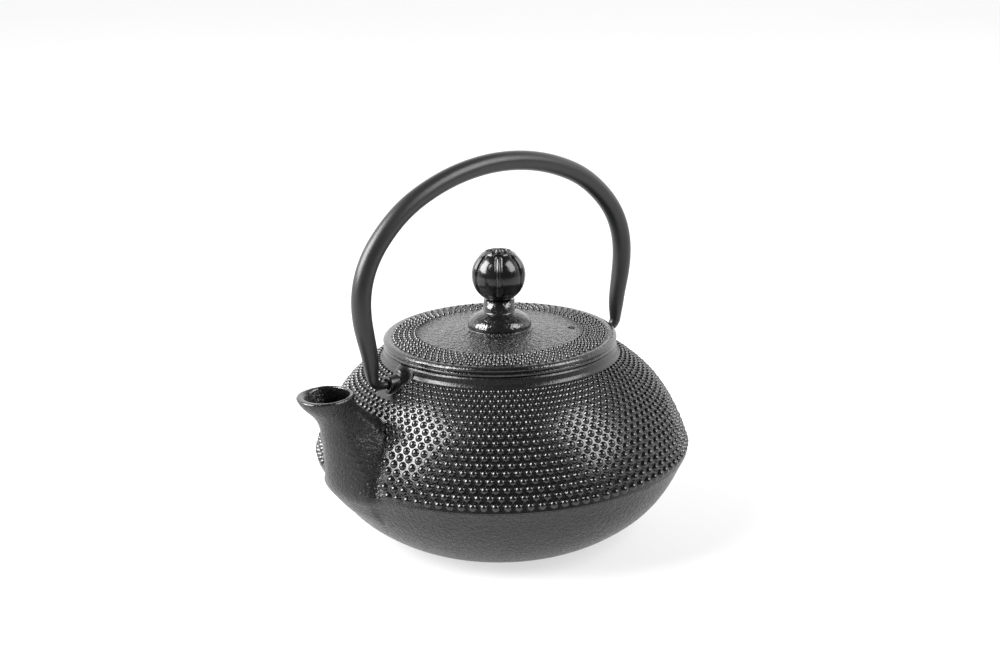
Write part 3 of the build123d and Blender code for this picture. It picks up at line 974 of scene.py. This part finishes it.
def wire_loops(loops, wire, closed):
    """Square-section wires along many lines of points at once."""
    verts, faces = [], []
    offset = 0
    for points, outward in loops:
        points = np.asarray(points)
        along = np.roll(points, -1, axis=0) - points if closed else np.gradient(points, axis=0)
        along = along / np.linalg.norm(along, axis=1)[:, None]
        across = np.cross(along, outward)
        corners = [outward * wire + across * wire, outward * wire - across * wire,
                   -outward * wire - across * wire, -outward * wire + across * wire]
        verts.append(np.stack([points + c for c in corners], axis=1).reshape(-1, 3))
        count = len(points)
        last = count if closed else count - 1
        i = np.arange(last)[:, None] * 4
        n = ((np.arange(last) + 1) % count)[:, None] * 4
        k = np.arange(4)[None]
        m = (k + 1) % 4
        faces.append(np.stack([i + k, n + k, n + m, i + m], axis=-1).reshape(-1, 4) + offset)
        offset += count * 4
    return np.vstack(verts), np.vstack(faces)


def basket_mesh_wall():
    """Woven wall: level rings and sloping uprights that pass each other in turn inside and outside."""
    heights = np.linspace(BASKET_BOTTOM[1] + MESH_MARGIN, BASKET_TOP[1] - MESH_MARGIN, MESH_RINGS)
    angles = np.arange(MESH_WIRES) * TAU / MESH_WIRES
    outward = np.stack([np.cos(angles), np.sin(angles), np.zeros(MESH_WIRES)], axis=1)
    rings = []
    for index, z in enumerate(heights):
        radius = basket_radius(z) + woven(MESH_WIRES, index, WALL_WEAVE)
        rings.append((outward * radius[:, None] + [0, 0, z], outward))
    uprights = []
    for index, direction in enumerate(outward):
        radius = basket_radius(heights) - woven(MESH_RINGS, index, WALL_WEAVE)
        points = direction[None] * radius[:, None]
        points[:, 2] = heights
        uprights.append((points, np.repeat(direction[None], MESH_RINGS, axis=0)))
    verts, faces = wire_loops(rings, MESH_WIRE, True)
    more, more_faces = wire_loops(uprights, MESH_WIRE, False)
    faces = np.vstack([faces, more_faces + len(verts)])
    verts = np.vstack([verts, more])
    add_mesh("basket_wall", verts, faces, "infuser", wire_steel,
             nodes=["infuser_mesh_wall"])


def basket_floor():
    """Woven floor: straight wires along X and along Y, cut off at the floor's ring."""
    wires = []
    offsets = np.arange(-FLOOR_RADIUS + 1, FLOOR_RADIUS - 0.5, FLOOR_WIRE_PITCH)
    for turn in (0, 1):
        for index, offset in enumerate(offsets):
            half = math.sqrt(FLOOR_RADIUS ** 2 - offset ** 2)
            count = max(int(2 * half / FLOOR_WIRE_PITCH), 2)
            height = FLOOR_HEIGHT + woven(count, index + turn, FLOOR_WEAVE)
            points = np.stack([np.linspace(-half, half, count), np.full(count, offset), height], axis=1)
            if turn:
                points = points[:, [1, 0, 2]]
            wires.append((points, np.tile([0.0, 0.0, 1.0], (count, 1))))
    verts, faces = wire_loops(wires, MESH_WIRE, False)
    add_mesh("basket_floor", verts, faces, "infuser", wire_steel,
             nodes=["infuser_mesh_floor"])


def finish_cad_nodes():
    """Materials for the CAD nodes that are shown as they are."""
    for node in ("infuser_rim", "infuser_wall_seam", "infuser_base_ring", "knob_screw", "screw_washer"):
        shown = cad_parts[node]
        shown.data.materials.clear()
        shown.data.materials.append(sheet_steel)


# ---------------------------------------------------------------- camera, floor and light

def place_camera():
    """Three-quarter view from the spout's side, a little above. Returns its backward and right directions."""
    azimuth, elevation = CAMERA_AZIMUTH, CAMERA_ELEVATION
    level = Vector((math.sin(azimuth), -math.cos(azimuth), 0)) * math.cos(elevation)
    back = level + Vector((0, 0, math.sin(elevation)))
    right = Vector((math.cos(azimuth), math.sin(azimuth), 0))
    up = back.cross(right)
    turned_right = right * math.cos(CAMERA_ROLL) + up * math.sin(CAMERA_ROLL)
    turned_up = up * math.cos(CAMERA_ROLL) - right * math.sin(CAMERA_ROLL)
    shift = turned_right * CAMERA_SHIFT[0] + turned_up * CAMERA_SHIFT[1]
    place = Vector(CAMERA_TARGET) - shift + back * CAMERA_DISTANCE
    camera = bpy.data.objects.new("camera", bpy.data.cameras.new("camera"))
    bpy.context.collection.objects.link(camera)
    rotation = Matrix((turned_right, turned_up, back)).transposed().to_4x4()
    camera.matrix_world = Matrix.Translation(place) @ rotation
    camera.data.sensor_width = 36
    camera.data.lens = CAMERA_LENS
    camera.data.clip_start = 0.01
    bpy.context.scene.camera = camera
    return back, right


def area_light(name, place, target, size, power):
    data = bpy.data.lights.new(name, "AREA")
    data.shape = "RECTANGLE"
    data.size, data.size_y = size
    data.energy = power
    light = bpy.data.objects.new(name, data)
    bpy.context.collection.objects.link(light)
    light.location = place
    light.rotation_euler = (target - place).to_track_quat("-Z", "Y").to_euler()


def half_scale(tree, vector, direction):
    """A vector's reach along a direction, with -1 to 1 mapped to 0 to 1."""
    reach = tree.nodes.new("ShaderNodeVectorMath")
    reach.operation = "DOT_PRODUCT"
    reach.inputs[1].default_value = direction
    tree.links.new(vector, reach.inputs[0])
    scale = tree.nodes.new("ShaderNodeMath")
    scale.operation = "MULTIPLY_ADD"
    scale.inputs[1].default_value = 0.5
    scale.inputs[2].default_value = 0.5
    tree.links.new(reach.outputs["Value"], scale.inputs[0])
    return scale.outputs["Value"]


def make_floor(behind):
    """Pale sweep under the pot. A glow of its own, strongest behind the pot, keeps it near white."""
    bpy.ops.mesh.primitive_plane_add(size=FLOOR_SIZE, location=(0, 0, 0))
    floor = bpy.context.object
    floor.name = "floor"
    material, tree, shader = new_material("floor_white")
    tone = ramp(tree, noise(tree, 3, detail=2), (0.3, (0.30, 0.30, 0.302)), (0.7, (0.32, 0.32, 0.322)))
    tree.links.new(tone, shader.inputs["Base Color"])
    shader.inputs["Roughness"].default_value = 0.7
    shader.inputs["Specular IOR Level"].default_value = 0.1
    shader.inputs["Emission Color"].default_value = (1, 1, 1, 1)
    coords = tree.nodes.new("ShaderNodeTexCoord")
    place = half_scale(tree, coords.outputs["Object"], behind)
    glow = ramp(tree, place, (0.12, FLOOR_GLOW_FRONT), (0.52, FLOOR_GLOW))
    tree.links.new(glow, shader.inputs["Emission Strength"])
    floor.data.materials.append(material)


def make_surround(behind):
    """Studio surround: a bright backdrop behind the pot and to its sides, and a dark ceiling and front."""
    world = bpy.data.worlds.new("studio")
    bpy.context.scene.world = world
    world.use_nodes = True
    tree = world.node_tree
    background = tree.nodes["Background"]
    coords = tree.nodes.new("ShaderNodeTexCoord")
    split = tree.nodes.new("ShaderNodeSeparateXYZ")
    tree.links.new(coords.outputs["Generated"], split.inputs["Vector"])
    facing = half_scale(tree, coords.outputs["Generated"], behind)
    rear = ramp(tree, facing, (0.30, SURROUND_DARK), (0.70, 1.0))
    low = ramp(tree, split.outputs["Z"], (0.45, 1.0), (0.85, SURROUND_DARK))
    blend = tree.nodes.new("ShaderNodeMix")
    blend.data_type = "RGBA"
    blend.blend_type = "MULTIPLY"
    factor, first, second, result = blend.inputs[0], blend.inputs[6], blend.inputs[7], blend.outputs[2]
    factor.default_value = 1.0
    tree.links.new(rear, first)
    tree.links.new(low, second)
    tree.links.new(result, background.inputs["Color"])
    background.inputs["Strength"].default_value = SURROUND_STRENGTH


def make_studio(back, right):
    """Floor, surround and two soft boxes in front of the pot, the left one larger and brighter."""
    front = Vector((back.x, back.y, 0)).normalized()
    make_floor(-front)
    make_surround(-front)
    up = Vector((0, 0, 1))
    middle = Vector(SOFT_BOX_TARGET)
    for name, turn, height, size, power in SOFT_BOXES:
        level = front * math.cos(turn) + right * math.sin(turn)
        place = middle + (level * math.cos(height) + up * math.sin(height)) * SOFT_BOX_DISTANCE
        area_light(name, place, middle, size, power)
    bpy.context.scene.view_settings.view_transform = "Standard"


# ---------------------------------------------------------------- make everything


pot_casting()
spout_piece()
pot_lug("pot_lug_right", 1)
pot_lug("pot_lug_left", -1)
shoulder_nails()
lid_casting()
lid_nails()
knob_ball()
knob_crown()
bail_bar()
basket_mesh_wall()
basket_floor()
finish_cad_nodes()
make_studio(*place_camera())
